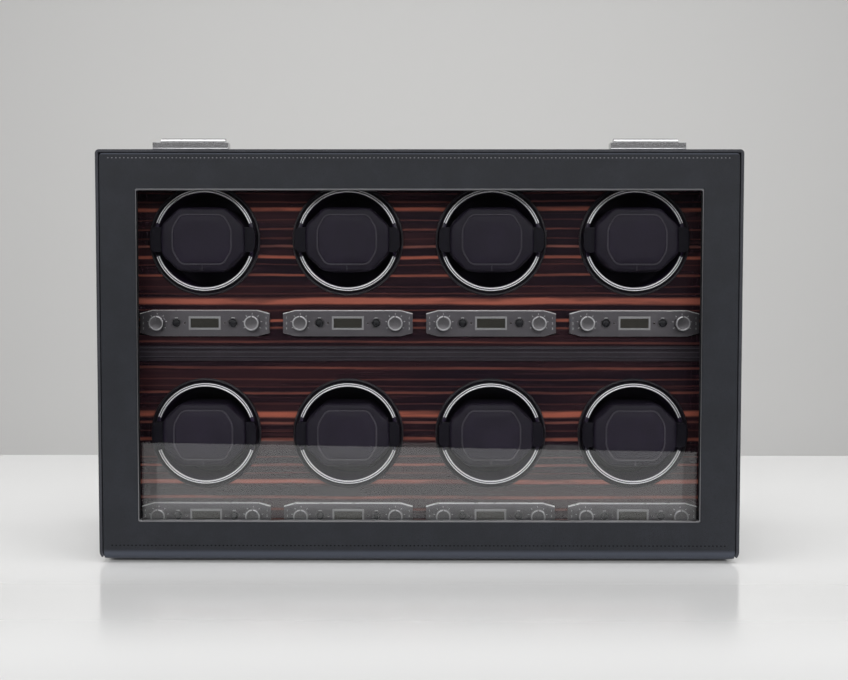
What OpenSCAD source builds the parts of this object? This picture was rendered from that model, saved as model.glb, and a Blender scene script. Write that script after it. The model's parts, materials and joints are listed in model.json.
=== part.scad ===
// Glass-fronted cabinet that winds eight automatic watches.
// Millimetres. X runs to the right, Y from the front to the back, Z up.
// The origin is at the middle of the box, on the surface that it stands on.

/* [Box] */
// Width over the leather
box_w = 660; // [620:1:760]
// Height of the top above the surface that the box stands on
box_h = 424.4; // [415:0.2:520]
// Depth from the front of the cover to the back
box_d = 241; // [210:1:320]
// Thickness of the case walls
wall = 14; // [10:0.5:16]
// Thickness of the case's bottom
bottom_t = 16; // [12:0.5:18]
// Height of the rubber feet
foot_h = 2; // [1:0.5:10]
// Radius of the rubber feet
foot_r = 12; // [8:0.5:18]
// Distance from a foot's centre to the sides of the box
foot_inset = 36; // [20:1:60]
// Radius of the case edges
edge_r = 4; // [1:0.5:6]
// Radius of the bottom corners, seen from the front
corner_r = 10; // [3:0.5:12]

/* [Cover] */
// Thickness of the cover from front to back
cover_t = 22; // [18:0.5:30]
// Gap between the closed cover and the case
cover_gap = 0.6; // [0.3:0.1:1.5]
// Width of the cover's side rails
side_rail = 40.5; // [30:0.5:50]
// Height of the cover's top rail
top_rail = 40; // [30:0.5:50]
// Height of the cover's bottom rail
bottom_rail = 40.4; // [32:0.2:46]
// Radius of the rolled edge along the bottom of the cover
roll_r = 12; // [4:0.5:16]
// Depth of the glass behind the cover's front
glass_recess = 7; // [5:0.5:9]
// Thickness of the glass
glass_t = 4; // [3:0.5:5]
// Width of the ledge that the glass lies on
glass_ledge = 8; // [5:0.5:12]
// Thickness of the bead that holds the glass from behind
bead_t = 5; // [3:0.5:6]
// Thickness of the metal lining of the window
trim_t = 1.5; // [1:0.1:3]
// Radius of the window's corners
window_r = 2; // [0.5:0.5:4]
// Gap around the glass and its bead
glass_gap = 0.25; // [0.1:0.05:0.5]

/* [Hinges] */
// Width of a hinge
hinge_w = 77; // [50:1:110]
// Distance from the middle of the box to a hinge's centre
hinge_x = 233; // [150:1:250]
// Radius of the hinge barrel
barrel_r = 6; // [5:0.25:8]
// Length of the hinge barrel
barrel_l = 66; // [40:1:76]
// Length of the knuckle that belongs to the cover
cover_knuckle_l = 24; // [14:1:30]
// Gap under the hinge barrel
barrel_lift = 1; // [0.6:0.1:2]
// Length of a leaf from front to back
leaf_l = 13; // [8:0.5:16]
// Height of a leaf
leaf_t = 6; // [4:0.25:7]
// Radius of the hinge pin
pin_r = 2.5; // [1.5:0.25:3]

/* [Panels] */
// Depth of the veneered panels behind the cover's front
panel_depth = 41; // [40:0.5:50]
// Thickness of the veneered panels
panel_t = 6; // [5:0.5:10]
// Height of the rail between the two rows
divider_h = 16; // [10:0.5:24]
// How far the rail stands out of the panels
divider_proud = 2; // [1:0.5:4]
// Depth of the rail from front to back
divider_d = 30; // [20:1:40]
// Depth of the grooves in the rail
divider_groove = 1; // [0.5:0.25:2]

/* [Winding drums] */
// Distance between neighbouring drums
drum_pitch = 150.6; // [142:0.2:154]
// Height of a drum's centre above the floor of its row
drum_rise = 111.5; // [108:0.5:118]
// Outer radius of a drum
drum_r = 52; // [50:0.5:54]
// Thickness of a drum's wall
drum_wall = 3.5; // [2:0.5:4]
// Depth of a drum from its rim to its back
drum_l = 58; // [56:0.5:62]
// How far a drum's rim stands out of the panel
rim_proud = 3.5; // [3:0.25:5]
// Radial width of the polished ring on the rim
ring_w = 3.6; // [2.5:0.1:4]
// Height of the polished ring
ring_t = 1.5; // [1:0.1:2.5]
// Height of the gap in the ring at each wing of the cuff
ring_gap = 35; // [30:0.5:44]
// Radius of a drum's hub
hub_r = 9; // [6:0.5:14]
// Length of a drum's hub
hub_l = 5; // [3:0.5:10]
// Radius of a drum's spindle
spindle_r = 3; // [2:0.25:4]
// Length of the spindle inside its gearbox
spindle_l = 15; // [10:0.5:22]
// Outer radius of the fixed bezel around a drum
bezel_r = 58.5; // [57.5:0.25:60]
// Thickness of the fixed bezel
bezel_t = 2.5; // [1.5:0.25:2.75]
// Radial gap between a drum and its bezel
drum_gap = 2; // [1.5:0.1:2.5]

/* [Watch cuffs] */
// Width of a cuff's body
cuff_w = 89; // [80:0.5:90]
// Height of a cuff's body
cuff_h = 67.5; // [56:0.5:68]
// Width of the front pad
pad_w = 68.5; // [50:0.5:76]
// Height of the front pad
pad_h = 51.3; // [40:0.1:56]
// How far the front pad stands out of the body
pad_t = 2; // [1:0.25:4]
// Span over the two wings
wing_span = 109.6; // [107:0.2:111]
// Height of a wing
wing_h = 26; // [16:0.5:27]
// How far the cuff's front stands in front of the ring
cuff_proud = 15; // [10:0.5:16]
// Length of the cuff inside the drum
cuff_l = 45; // [36:0.5:50]

/* [Control units] */
// Length of a control plate
plate_w = 136.3; // [132:0.1:140]
// Height of a control plate
plate_h = 27.4; // [25:0.1:30]
// Thickness of a control plate
plate_t = 5; // [4:0.25:6]
// Height of a control plate's ends
plate_end_h = 20.5; // [18:0.5:24]
// Length of a control plate's tapered ends
plate_taper = 12.5; // [8:0.5:16]
// Distance from a drum's centre down to its control plate
plate_drop = 87.3; // [85:0.1:90]
// Distance from a plate's middle to its knobs
knob_x = 50; // [47:0.5:53]
// Radius of a knob
knob_r = 8; // [6:0.25:8.5]
// Height of a knob
knob_h = 7; // [4:0.5:9]
// Radius of a knob's shaft
shaft_r = 3; // [2:0.25:3.5]
// Gap between a knob and its plate
knob_gap = 0.3; // [0.2:0.1:0.6]
// Width of the pointer groove in a knob
pointer_w = 1.2; // [0.8:0.1:2]
// Distance from a plate's middle to its push buttons
button_x = 29.8; // [28:0.1:32]
// Radius of a push button
button_r = 4.2; // [3:0.1:4.5]
// How far a push button stands out of its plate
button_proud = 1.6; // [1.2:0.1:2.5]
// Travel of a push button
button_travel = 0.8; // [0.4:0.1:1]
// Distance from a plate's middle to its status lamps
lamp_x = 21; // [20:0.1:22]
// Radius of a status lamp
lamp_r = 1; // [0.75:0.05:1.5]
// Width of a display
display_w = 29.5; // [22:0.5:32]
// Height of a display
display_h = 10; // [7:0.25:12]
// Width of the raised frame around a display
display_rim = 2; // [1:0.25:2.5]
// Height of the raised frame around a display
rim_t = 0.8; // [0.4:0.1:1.5]
// Thickness of a circuit board
board_t = 1.6; // [1:0.2:2.4]

/* [Drive and power] */
// Thickness of the board that carries the motors
motor_board_t = 6; // [4:0.5:12]
// Side of the square gearbox
gearbox_w = 40; // [30:1:46]
// Length of the gearbox
gearbox_l = 20; // [12:1:26]
// Radius of the motor behind the gearbox
motor_r = 14; // [10:0.5:17]
// Length of the motor behind the gearbox
motor_l = 28; // [18:1:40]
// Radius of the gearbox boss that the spindle turns in
boss_r = 7; // [5.5:0.25:9]
// Thickness of the rear cover
rear_t = 5; // [4:0.5:8]
// Place of the power socket to the right of the middle
socket_x = 0; // [-280:1:280]
// Height of the power socket
socket_z = 46; // [36:1:90]
// Radius of the power socket's bore
socket_bore_r = 2.9; // [2.5:0.05:3.5]
// Radius of the power socket's body
socket_r = 5.5; // [5:0.25:7]
// Length of the power socket's body
socket_l = 16; // [14:0.5:24]

/* [Fits] */
// Radial clearance of a shaft that turns or slides in a bore
run_fit = 0.05; // [0.03:0.01:0.1]
// Gap between pieces that are only close to each other
seat_gap = 0.3; // [0.1:0.05:0.4]

/* [Hidden] */
$fn = 96;

over = 1;                                // how far a cutter runs past what it cuts
stations = [1, 2, 3, 4, 5, 6, 7, 8];     // the upper row from left to right, then the lower row
per_row = 4;

// Depths, from the front
front_y = -box_d / 2;
back_y = box_d / 2;
cover_back_y = front_y + cover_t;
case_front_y = cover_back_y + cover_gap;
panel_y = front_y + panel_depth;
panel_back_y = panel_y + panel_t;
plate_y = panel_y - plate_t;
rim_y = panel_y - rim_proud;
ring_y = rim_y - ring_t;
cuff_y = ring_y - cuff_proud;
glass_y = front_y + glass_recess;
drum_floor_y = rim_y + drum_l;
hub_back_y = drum_floor_y + hub_l;
boss_y = hub_back_y + seat_gap;
motor_board_y = boss_y + seat_gap;
gearbox_y = motor_board_y + motor_board_t;
spindle_end_y = boss_y + spindle_l;
rear_y = back_y - rear_t;

// Heights, from the surface that the box stands on
inner_z0 = foot_h + bottom_t;
inner_z1 = box_h - wall;
inner_w = box_w - 2 * wall;
row_h = (inner_z1 - inner_z0 - divider_h) / 2;
divider_z = inner_z0 + row_h;
window_z0 = foot_h + bottom_rail;
window_z1 = box_h - top_rail;
window_w = box_w - 2 * side_rail;
hinge_y = (cover_back_y + case_front_y) / 2;
hinge_z = box_h + barrel_lift + barrel_r;

// Places of the eight stations
function column(n) = (n - 1) % per_row;
function is_upper(n) = n <= per_row;
function drum_x(n) = (column(n) - (per_row - 1) / 2) * drum_pitch;
function drum_z(n) = (is_upper(n) ? divider_z + divider_h : inner_z0) + drum_rise;
function plate_z(n) = drum_z(n) - plate_drop;

// Sizes that follow from others
bezel_in_r = drum_r + drum_gap;
sleeve_r = (bezel_in_r + bezel_r) / 2 - 0.8;
sleeve_fit = 0.1;
ring_r = drum_r + 0.5;
cuff_chamfer = [19, 18.5];               // corners of the cuff's body
pad_chamfer = [12.5, 18];                // corners of the front pad
wing_chamfer = [3, 5];                   // corners of the wings
slot_w = 2 * (knob_x + knob_r) + 2;      // cut-out in the panel behind a control plate
slot_h = 2 * knob_r + 2;
board_w = slot_w + 8;
board_h = slot_h + 4;
switch_w = 6;                            // switch on the circuit board, behind a button
switch_gap = 0.2;                        // what is left of the way when a button is pressed
button_back_y = panel_y + 2.5;
flange_w = 2;                            // rim of the power socket
flange_t = 1.5;
rear_fit = 0.25;                         // gap around the rear cover

leather = "#2f3137";
ebony = "#3a1d18";
steel = "#b9bcc0";
black = "#1b1b1d";
charcoal = "#2a2a2e";

// A cylinder along Y
module rod_y(r, y0, y1) {
    translate([0, y0, 0]) rotate([-90, 0, 0]) cylinder(r = r, h = y1 - y0);
}

// A cylinder along X
module rod_x(r, x0, x1) {
    translate([x0, 0, 0]) rotate([0, 90, 0]) cylinder(r = r, h = x1 - x0);
}

// A flat shape in X and Z, extruded along Y
module along_y(y0, y1) {
    translate([0, y1, 0]) rotate([90, 0, 0]) linear_extrude(height = y1 - y0) children();
}

// A flat shape in Y and Z, extruded along X
module along_x(x0, x1) {
    translate([x0, 0, 0]) rotate([90, 0, 90]) linear_extrude(height = x1 - x0) children();
}

// A flat shape in X and Y, extruded along Z
module along_z(z0, z1) {
    translate([0, 0, z0]) linear_extrude(height = z1 - z0) children();
}

// A box from its lowest to its highest corner
module block(low, high) {
    translate(low) cube(high - low);
}

// What a round takes off a corner, turned to the corner by a number of quarter turns
module corner_waste(at, turns, r) {
    if (r > 0) translate(at) rotate(90 * turns) difference() {
        translate([-over, -over]) square(r + over);
        translate([r, r]) circle(r);
    }
}

// A rectangle whose corners have radii [low left, low right, high right, high left]
module panel_outline(low, high, r) {
    difference() {
        translate(low) square(high - low);
        corner_waste(low, 0, r[0]);
        corner_waste([high[0], low[1]], 1, r[1]);
        corner_waste(high, 2, r[2]);
        corner_waste([low[0], high[1]], 3, r[3]);
    }
}

// An upright rectangle with chamfered corners, centred on the origin
module chamfered(w, h, c) {
    x = w / 2;
    z = h / 2;
    polygon([[-x, -z + c[1]], [-x + c[0], -z], [x - c[0], -z], [x, -z + c[1]],
        [x, z - c[1]], [x - c[0], z], [-x + c[0], z], [-x, z - c[1]]]);
}

// The leather-covered outer form between two depths, rounded along every edge
module padded_box(y0, y1, front_r, bottom_r, back_r) {
    side = [-box_w / 2, box_w / 2];
    intersection() {
        along_x(side[0] - over, side[1] + over)
            panel_outline([y0, foot_h], [y1, box_h], [bottom_r, back_r, back_r, front_r]);
        along_y(y0 - over, y1 + over)
            panel_outline([side[0], foot_h], [side[1], box_h], [corner_r, corner_r, edge_r, edge_r]);
        along_z(0, box_h + over)
            panel_outline([side[0], y0], [side[1], y1], [front_r, front_r, back_r, back_r]);
    }
}

module case_shell() {
    color(leather) difference() {
        padded_box(case_front_y, back_y, 1, 1, edge_r);
        block([-inner_w / 2, case_front_y - over, inner_z0], [inner_w / 2, back_y + over, inner_z1]);
    }
}

module rear_cover() {
    x = inner_w / 2 - rear_fit;
    color(charcoal) difference() {
        block([-x, rear_y, inner_z0 + rear_fit], [x, back_y, inner_z1 - rear_fit]);
        translate([socket_x, 0, socket_z]) {
            rod_y(socket_r + sleeve_fit, rear_y - over, back_y + over);
            rod_y(socket_r + flange_w + sleeve_fit, back_y - flange_t, back_y + over);
        }
    }
}

// One veneered panel, from its lower edge up, with the openings for four stations
module veneer_panel(z, first) {
    difference() {
        block([-inner_w / 2, panel_y, z], [inner_w / 2, panel_back_y, z + row_h]);
        for (n = [first : first + per_row - 1]) {
            translate([drum_x(n), 0, drum_z(n)])
                rod_y(sleeve_r + sleeve_fit, panel_y - over, panel_back_y + over);
            translate([drum_x(n), 0, plate_z(n)])
                block([-slot_w / 2, panel_y - over, -slot_h / 2], [slot_w / 2, panel_back_y + over, slot_h / 2]);
        }
    }
}

module veneer_panels() {
    color(ebony) {
        veneer_panel(inner_z0, per_row + 1);
        veneer_panel(divider_z + divider_h, 1);
    }
}

module divider_rail() {
    y = panel_y - divider_proud;
    color(leather) difference() {
        block([-inner_w / 2, y, divider_z], [inner_w / 2, y + divider_d, divider_z + divider_h]);
        for (z = [divider_z + divider_h / 4, divider_z + divider_h * 3 / 4])
            block([-inner_w / 2 - over, y - over, z - divider_groove / 2],
                [inner_w / 2 + over, y + divider_groove, z + divider_groove / 2]);
    }
}

module drum_bezels() {
    color(black) for (n = stations) translate([drum_x(n), 0, drum_z(n)]) difference() {
        union() {
            rod_y(bezel_r, panel_y - bezel_t, panel_y);
            rod_y(sleeve_r, panel_y - over, panel_back_y);
        }
        rod_y(bezel_in_r, panel_y - bezel_t - over, panel_back_y + over);
    }
}

module motor_board() {
    color("#8a7355") difference() {
        block([-inner_w / 2, motor_board_y, inner_z0], [inner_w / 2, gearbox_y, inner_z1]);
        for (n = stations) translate([drum_x(n), 0, drum_z(n)])
            rod_y(boss_r + sleeve_fit, motor_board_y - over, gearbox_y + over);
    }
}

module gear_motors() {
    s = gearbox_w / 2;
    color(steel) for (n = stations) translate([drum_x(n), 0, drum_z(n)]) difference() {
        union() {
            rod_y(boss_r, boss_y, gearbox_y + over);
            block([-s, gearbox_y, -s], [s, gearbox_y + gearbox_l, s]);
            rod_y(motor_r, gearbox_y + gearbox_l - over, gearbox_y + gearbox_l + motor_l);
        }
        rod_y(spindle_r + run_fit, boss_y - over, spindle_end_y + seat_gap);
    }
}

module control_plates() {
    rim = [display_w / 2 + display_rim, display_h / 2 + display_rim];
    color(steel) for (n = stations) translate([drum_x(n), 0, plate_z(n)]) difference() {
        union() {
            along_y(plate_y, panel_y)
                chamfered(plate_w, plate_h, [plate_taper, (plate_h - plate_end_h) / 2]);
            block([-rim[0], plate_y - rim_t, -rim[1]], [rim[0], plate_y + over, rim[1]]);
        }
        block([-display_w / 2 - sleeve_fit, plate_y - 2 * rim_t, -display_h / 2 - sleeve_fit],
            [display_w / 2 + sleeve_fit, panel_y + over, display_h / 2 + sleeve_fit]);
        for (side = [-1, 1]) {
            translate([side * knob_x, 0, 0]) rod_y(shaft_r + run_fit, plate_y - over, panel_y + over);
            translate([side * button_x, 0, 0]) rod_y(button_r + run_fit, plate_y - over, panel_y + over);
            translate([side * lamp_x, 0, 0]) rod_y(lamp_r + sleeve_fit, plate_y - over, panel_y + over);
        }
    }
}

module displays() {
    color("#7f8a80") for (n = stations) translate([drum_x(n), 0, plate_z(n)])
        block([-display_w / 2, plate_y - rim_t / 2, -display_h / 2],
            [display_w / 2, panel_back_y, display_h / 2]);
}

module status_lamps() {
    color("#2a1a1a") for (n = stations, side = [-1, 1])
        translate([drum_x(n) + side * lamp_x, 0, plate_z(n)]) rod_y(lamp_r, plate_y - lamp_r / 2, panel_back_y);
}

module circuit_boards() {
    s = switch_w / 2;
    switch_y = button_back_y + button_travel + switch_gap;
    selector_y = panel_back_y - 1.2;
    color("#1f5a36") for (n = stations) translate([drum_x(n), 0, plate_z(n)]) {
        block([-board_w / 2, panel_back_y, -board_h / 2], [board_w / 2, panel_back_y + board_t, board_h / 2]);
        for (side = [-1, 1]) {
            translate([side * button_x, 0, 0]) block([-s, switch_y, -s], [s, panel_back_y + board_t / 2, s]);
            translate([side * knob_x, 0, 0]) rod_y(2 * shaft_r, selector_y, panel_back_y + board_t / 2);
        }
    }
}

module power_socket() {
    color(black) translate([socket_x, 0, socket_z]) difference() {
        union() {
            rod_y(socket_r, back_y - socket_l, back_y);
            rod_y(socket_r + flange_w, back_y - flange_t, back_y);
        }
        rod_y(socket_bore_r, back_y - socket_l + 4, back_y + over);
    }
}

module feet() {
    color(black) for (x = [-1, 1], y = [-1, 1])
        translate([x * (box_w / 2 - foot_inset), y * (back_y - foot_inset), 0]) cylinder(r = foot_r, h = foot_h);
}

// A knuckle of a hinge and the web that joins it to its leaf
module knuckle(x0, x1, toward) {
    reach = barrel_r + seat_gap + over;
    difference() {
        union() {
            translate([0, hinge_y, hinge_z]) rod_x(barrel_r, x0, x1);
            block([x0, min(hinge_y, hinge_y + toward * reach), box_h + barrel_lift],
                [x1, max(hinge_y, hinge_y + toward * reach), box_h + leaf_t]);
        }
        translate([0, hinge_y, hinge_z]) rod_x(pin_r + run_fit, x0 - over, x1 + over);
    }
}

// A leaf on the top of the box, in front of the barrel or behind it
module leaf(toward) {
    near = hinge_y + toward * (barrel_r + seat_gap);
    far = near + toward * leaf_l;
    block([-hinge_w / 2, min(near, far), box_h], [hinge_w / 2, max(near, far), box_h + leaf_t]);
}

module case_hinge_leaves() {
    color(steel) for (side = [-1, 1]) translate([side * hinge_x, 0, 0]) {
        leaf(1);
        for (end = [-1, 1]) {
            inner = end * (cover_knuckle_l / 2 + seat_gap);
            outer = end * barrel_l / 2;
            knuckle(min(inner, outer), max(inner, outer), 1);
        }
    }
}

module cover_hinge_leaves() {
    color(steel) for (side = [-1, 1]) translate([side * hinge_x, 0, 0]) {
        leaf(-1);
        knuckle(-cover_knuckle_l / 2, cover_knuckle_l / 2, -1);
    }
}

module hinge_pins() {
    color(steel) for (side = [-1, 1])
        translate([side * hinge_x, hinge_y, hinge_z]) rod_x(pin_r, -barrel_l / 2, barrel_l / 2);
}

// A rectangle around the window, larger than it by a margin
module window_outline(margin) {
    panel_outline([-window_w / 2 - margin, window_z0 - margin], [window_w / 2 + margin, window_z1 + margin],
        [window_r, window_r, window_r, window_r]);
}

module cover_frame() {
    color(leather) difference() {
        padded_box(front_y, cover_back_y, edge_r, roll_r, 1);
        along_y(front_y - over, cover_back_y + over) window_outline(0);
        along_y(glass_y, cover_back_y + over) window_outline(glass_ledge);
    }
}

module window_trim() {
    color("#d8d8da") along_y(front_y + seat_gap, glass_y) difference() {
        window_outline(0);
        window_outline(-trim_t);
    }
}

module glass_pane() {
    color([0.75, 0.85, 0.85, 0.3]) along_y(glass_y, glass_y + glass_t) window_outline(glass_ledge - glass_gap);
}

module glass_bead() {
    color(charcoal) along_y(glass_y + glass_t, glass_y + glass_t + bead_t) difference() {
        window_outline(glass_ledge - glass_gap);
        window_outline(0);
    }
}

// A bowl that turns with its spindle, and the two arcs of polished ring on its rim
module drum(n) {
    cut = ring_gap / 2;
    translate([drum_x(n), 0, drum_z(n)]) {
        color(black) difference() {
            union() {
                rod_y(drum_r, rim_y, drum_floor_y);
                rod_y(hub_r, drum_floor_y - over, hub_back_y);
                rod_y(spindle_r, hub_back_y - over, spindle_end_y);
            }
            rod_y(drum_r - drum_wall, rim_y - over, drum_floor_y - drum_wall);
        }
        color(steel) difference() {
            rod_y(ring_r, ring_y, rim_y - run_fit);
            rod_y(ring_r - ring_w, ring_y - over, rim_y + over);
            block([-2 * ring_r, ring_y - over, -cut], [2 * ring_r, rim_y + over, cut]);
        }
    }
}

// The padded holder that a watch is strapped round, with the wings that sit on the drum's rim
module cuff(n) {
    body_y = cuff_y + pad_t;
    color(charcoal) translate([drum_x(n), 0, drum_z(n)]) {
        along_y(cuff_y, body_y + over) chamfered(pad_w, pad_h, pad_chamfer);
        along_y(body_y, rim_y + cuff_l) chamfered(cuff_w, cuff_h, cuff_chamfer);
        along_y(body_y, rim_y) chamfered(wing_span, wing_h, wing_chamfer);
    }
}

// A selector knob with its shaft
module knob(n, side) {
    back = plate_y - knob_gap;
    front = back - knob_h;
    color(steel) translate([drum_x(n) + side * knob_x, 0, plate_z(n)]) difference() {
        union() {
            rod_y(knob_r, front, back);
            rod_y(shaft_r, back - over, panel_back_y - 1.5);
        }
        block([-pointer_w / 2, front - over, knob_r / 4], [pointer_w / 2, front + pointer_w / 2, knob_r + over]);
    }
}

// The two push buttons of a control unit
module push_buttons(n) {
    color(black) for (side = [-1, 1]) translate([drum_x(n) + side * button_x, 0, plate_z(n)])
        rod_y(button_r, plate_y - button_proud, button_back_y);
}

case_shell();
rear_cover();
veneer_panels();
divider_rail();
drum_bezels();
motor_board();
gear_motors();
control_plates();
displays();
status_lamps();
circuit_boards();
power_socket();
feet();
case_hinge_leaves();
hinge_pins();
cover_frame();
window_trim();
glass_pane();
glass_bead();
cover_hinge_leaves();
drum(1);  // drum_1
drum(2);  // drum_2
drum(3);  // drum_3
drum(4);  // drum_4
drum(5);  // drum_5
drum(6);  // drum_6
drum(7);  // drum_7
drum(8);  // drum_8
cuff(1);  // cuff_1
cuff(2);  // cuff_2
cuff(3);  // cuff_3
cuff(4);  // cuff_4
cuff(5);  // cuff_5
cuff(6);  // cuff_6
cuff(7);  // cuff_7
cuff(8);  // cuff_8
knob(1, -1);  // left_knob_1
knob(2, -1);  // left_knob_2
knob(3, -1);  // left_knob_3
knob(4, -1);  // left_knob_4
knob(5, -1);  // left_knob_5
knob(6, -1);  // left_knob_6
knob(7, -1);  // left_knob_7
knob(8, -1);  // left_knob_8
knob(1, 1);  // right_knob_1
knob(2, 1);  // right_knob_2
knob(3, 1);  // right_knob_3
knob(4, 1);  // right_knob_4
knob(5, 1);  // right_knob_5
knob(6, 1);  // right_knob_6
knob(7, 1);  // right_knob_7
knob(8, 1);  // right_knob_8
push_buttons(1);  // push_buttons_1
push_buttons(2);  // push_buttons_2
push_buttons(3);  // push_buttons_3
push_buttons(4);  // push_buttons_4
push_buttons(5);  // push_buttons_5
push_buttons(6);  // push_buttons_6
push_buttons(7);  // push_buttons_7
push_buttons(8);  // push_buttons_8
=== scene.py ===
# %% [markdown]
# # A glass-fronted cabinet that winds eight watches
# A cabinet covered in black leather has a glass cover hinged along its top edge. Behind the glass two panels
# of striped ebony carry eight drums that turn slowly, each with a padded cuff that a watch is strapped round,
# and under each drum sits a metal control unit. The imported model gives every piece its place. This lesson
# gives each piece its finish, and models again those whose shape needs more than flat faces and plain edges.

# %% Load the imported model
import json
import math
import bpy
from mathutils import Matrix, Vector


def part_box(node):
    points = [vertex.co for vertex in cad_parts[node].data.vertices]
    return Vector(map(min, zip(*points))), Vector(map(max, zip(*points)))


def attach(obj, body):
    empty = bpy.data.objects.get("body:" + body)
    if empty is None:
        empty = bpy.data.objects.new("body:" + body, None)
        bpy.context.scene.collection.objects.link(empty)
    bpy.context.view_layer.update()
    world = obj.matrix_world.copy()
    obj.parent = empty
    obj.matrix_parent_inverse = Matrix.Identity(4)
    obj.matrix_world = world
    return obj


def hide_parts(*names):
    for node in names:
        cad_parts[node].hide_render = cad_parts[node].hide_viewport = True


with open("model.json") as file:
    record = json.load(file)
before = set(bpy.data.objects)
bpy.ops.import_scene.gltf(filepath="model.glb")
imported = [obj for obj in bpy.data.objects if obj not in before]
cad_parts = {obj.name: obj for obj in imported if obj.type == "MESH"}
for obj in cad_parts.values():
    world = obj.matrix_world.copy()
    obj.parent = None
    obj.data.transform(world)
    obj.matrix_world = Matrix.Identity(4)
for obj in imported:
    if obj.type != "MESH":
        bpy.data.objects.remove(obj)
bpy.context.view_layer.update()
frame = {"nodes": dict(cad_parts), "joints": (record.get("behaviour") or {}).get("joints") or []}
mm = 0.001
joints = {joint["name"]: joint for joint in frame["joints"]}
stations = range(1, 9)
sides = (-1, 1)            # left and right, as signs of x

# %% [markdown]
# ## Working as by hand
# Operators act on whatever is selected, so each step starts by deselecting everything, and edit-mode steps
# select their faces or edges by place. These few helpers do what a hand on the mouse would do: pick an
# object, pick some of its faces or edges, and go in and out of edit mode.

# %% Selecting
def deselect():
    bpy.ops.object.select_all(action="DESELECT")


def only(piece):
    """Makes one object the selected and active one."""
    deselect()
    piece.select_set(True)
    bpy.context.view_layer.objects.active = piece
    return piece


def pick(piece, kind, test):
    """Opens edit mode with the vertices, edges or faces selected whose middle passes the test."""
    only(piece)
    bpy.ops.object.mode_set(mode="EDIT")
    bpy.ops.mesh.select_mode(type=kind)
    bpy.ops.mesh.select_all(action="DESELECT")
    bpy.ops.object.mode_set(mode="OBJECT")
    mesh = piece.data
    if kind == "VERT":
        for vertex in mesh.vertices:
            vertex.select = test(vertex.co)
    elif kind == "EDGE":
        for edge in mesh.edges:
            a, b = (mesh.vertices[i].co for i in edge.vertices)
            edge.select = test((a + b) / 2, (b - a).normalized())
    else:
        for face in mesh.polygons:
            face.select = test(face.center, face.normal)
    bpy.ops.object.mode_set(mode="EDIT")


def pick_all(piece):
    only(piece)
    bpy.ops.object.mode_set(mode="EDIT")
    bpy.ops.mesh.select_all(action="SELECT")


def done():
    bpy.ops.object.mode_set(mode="OBJECT")


def near(a, b, gap=0.05 * mm):
    return abs(a - b) < gap


# %% [markdown]
# A block is a cube primitive that is stretched between two corners. Applying its place at once keeps the
# object at the origin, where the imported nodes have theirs, so that patterns line up between old and new
# pieces.

# %% Blocks, bevels and modifiers
def settle(piece, name):
    """Names a new piece and puts its place, turn and scale into its mesh."""
    only(piece)
    bpy.ops.object.transform_apply(location=True, rotation=True, scale=True)
    piece.name = piece.data.name = name
    return piece


def block(name, low, high):
    low, high = Vector(low), Vector(high)
    deselect()
    bpy.ops.mesh.primitive_cube_add(size=1, location=(low + high) / 2)
    piece = bpy.context.active_object
    piece.scale = high - low
    return settle(piece, name)


def modified(piece, kind, **settings):
    """Adds a modifier and applies it."""
    only(piece)
    modifier = piece.modifiers.new(kind.title(), kind)
    for setting, value in settings.items():
        setattr(modifier, setting, value)
    bpy.ops.object.modifier_apply(modifier=modifier.name)
    return piece


def cut(piece, tool):
    """Takes the tool's shape out of a piece and throws the tool away."""
    modified(piece, "BOOLEAN", operation="DIFFERENCE", object=tool, solver="EXACT")
    bpy.data.objects.remove(tool)


def bevelled(piece, offset, segments, test):
    """Bevels the edges that pass the test."""
    pick(piece, "EDGE", test)
    bpy.ops.mesh.bevel(offset=offset, segments=segments, affect="EDGES")
    done()


def rounded(piece, width, segments=3, sharper_than=30):
    """Rounds every edge that is sharper than an angle."""
    return modified(piece, "BEVEL", width=width, segments=segments, limit_method="ANGLE",
                    angle_limit=math.radians(sharper_than), harden_normals=False)


def smooth(piece, angle=35):
    only(piece)
    bpy.ops.object.shade_smooth_by_angle(angle=math.radians(angle))
    return piece


def flat_lit(piece, angle=35):
    """Shades a bevelled piece so that its flat faces look flat and only the bevels bend the light."""
    smooth(piece, angle)
    return modified(piece, "WEIGHTED_NORMAL", keep_sharp=True, weight=100)


def outward(piece):
    """Merges doubled vertices and turns all faces outwards."""
    pick_all(piece)
    bpy.ops.mesh.remove_doubles(threshold=0.01 * mm)
    bpy.ops.mesh.normals_make_consistent(inside=False)
    done()
    return piece


# %% [markdown]
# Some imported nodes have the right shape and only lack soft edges. A copy of such a node is cleaned first: its
# doubled corners are merged and its flat triangles are joined into whole faces. Then a bevel rounds the
# edges, and the copy stands in for the node. What repeats is modelled once. Every further copy has its own
# mesh, which is moved to its place, so that its object can stay at the origin too. A copy starts without the
# first one's notes on its body and its node.

# %% Copies
def copied(piece, name, offset=(0, 0, 0)):
    twin = piece.copy()
    twin.data = piece.data.copy()
    twin.data.transform(Matrix.Translation(offset))
    twin.name = twin.data.name = name
    for key in list(twin.keys()):
        del twin[key]
    bpy.context.scene.collection.objects.link(twin)
    return twin


def copy_of(node, name):
    piece = copied(frame["nodes"][node], name)
    piece.parent = None
    piece.data.materials.clear()
    pick_all(piece)
    bpy.ops.mesh.remove_doubles(threshold=0.002 * mm)
    bpy.ops.mesh.dissolve_limited(angle_limit=math.radians(0.5))
    done()
    return piece


def softened(node, name, width, segments=2, sharper_than=40):
    return flat_lit(rounded(copy_of(node, name), width, segments, sharper_than))


def joined(name, pieces):
    deselect()
    for piece in pieces:
        piece.select_set(True)
    bpy.context.view_layer.objects.active = pieces[0]
    bpy.ops.object.join()
    pieces[0].name = pieces[0].data.name = name
    return pieces[0]


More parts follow.
